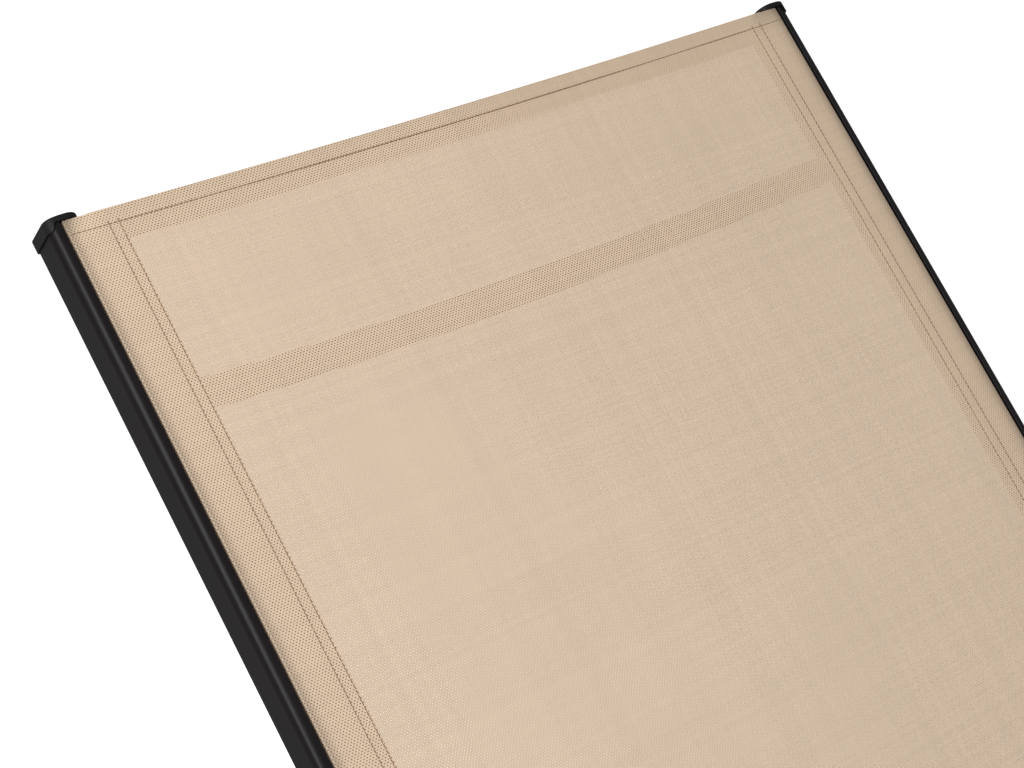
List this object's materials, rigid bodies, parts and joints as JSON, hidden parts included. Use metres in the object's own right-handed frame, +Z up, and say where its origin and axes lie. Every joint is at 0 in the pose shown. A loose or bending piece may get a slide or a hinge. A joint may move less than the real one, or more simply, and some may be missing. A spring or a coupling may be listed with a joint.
{
  "type": "reclining sun lounger",
  "caption": "Low sun lounger with a black tube-and-rail aluminium frame, stretched beige mesh slings and a backrest propped at a choice of angles by a swinging stand.",
  "frame": {"origin": "on the floor, in the middle of the lounger's width and of its length at rest", "axes": "+X across the width, +Y from the foot end to the head end, +Z up"},
  "size_m": [0.64, 1.7452, 0.8812],
  "materials": {
    "frame_tube": "satin black powder coat on aluminium",
    "casting": "satin black powder coat on cast aluminium",
    "sling_mesh": "beige coated mesh",
    "sling_rod": "plain extruded rod",
    "end_cap": "matte black moulding",
    "glide": "matte black moulding",
    "rack": "matte black glass-filled moulding",
    "bush": "natural nylon",
    "fastener": "stainless steel"
  },
  "bodies": {
    "frame": {"foot_glide_foot_left": "glide", "foot_glide_foot_right": "glide", "foot_glide_rear_left": "glide", "foot_glide_rear_right": "glide", "hinge_bolt_left": "fastener", "hinge_bolt_right": "fastener", "hinge_nuts": "fastener", "hinge_spacer_left": "bush", "hinge_spacer_right": "bush", "leg_bolts": "fastener", "leg_crossbar_foot": "frame_tube", "leg_crossbar_rear": "frame_tube", "leg_foot_left": "frame_tube", "leg_foot_right": "frame_tube", "leg_rear_left": "frame_tube", "leg_rear_right": "frame_tube", "leg_shoe_foot_left": "casting", "leg_shoe_foot_right": "casting", "leg_shoe_rear_left": "casting", "leg_shoe_rear_right": "casting", "leg_shoe_screws": "fastener", "notched_rack_left": "rack", "notched_rack_right": "rack", "rack_screws": "fastener", "seat_cross_tube_foot": "frame_tube", "seat_cross_tube_hinge": "frame_tube", "seat_cross_tube_middle": "frame_tube", "seat_sling": "sling_mesh", "seat_sling_rod_left": "sling_rod", "seat_sling_rod_right": "sling_rod", "side_rail_foot_cap_left": "end_cap", "side_rail_foot_cap_right": "end_cap", "side_rail_left": "frame_tube", "side_rail_rear_cap_left": "end_cap", "side_rail_rear_cap_right": "end_cap", "side_rail_right": "frame_tube"},
    "backrest": {"backrest_cross_tube_head": "frame_tube", "backrest_cross_tube_hinge": "frame_tube", "backrest_head_cap_left": "end_cap", "backrest_head_cap_right": "end_cap", "backrest_rail_left": "frame_tube", "backrest_rail_right": "frame_tube", "backrest_sling": "sling_mesh", "backrest_sling_rod_left": "sling_rod", "backrest_sling_rod_right": "sling_rod", "backrest_tail_cap_left": "end_cap", "backrest_tail_cap_right": "end_cap", "hinge_bush_left": "bush", "hinge_bush_right": "bush", "prop_pivot_bolts": "fastener", "prop_pivot_nuts": "fastener"},
    "prop": {"prop_arm_left": "frame_tube", "prop_arm_plugs": "end_cap", "prop_arm_right": "frame_tube", "prop_bar_cap_left": "end_cap", "prop_bar_cap_right": "end_cap", "prop_bush_left": "bush", "prop_bush_right": "bush", "prop_foot_bar": "frame_tube"}
  },
  "joints": [
    {"name": "recline", "type": "hinge", "parent": "frame", "child": "backrest", "pos_m": [0, 0.24738, 0.312], "axis": [1, 0, 0], "range_deg": [-42, 28]},
    {"name": "prop_swing", "type": "hinge", "parent": "backrest", "child": "prop", "pos_m": [0, 0.37, 0.42241], "axis": [1, 0, 0], "range_deg": [-52.92, 79.38]}
  ],
  "couplings": [
    {"joint": "prop_swing", "follows": "recline", "ratio": -1.89}
  ]
}
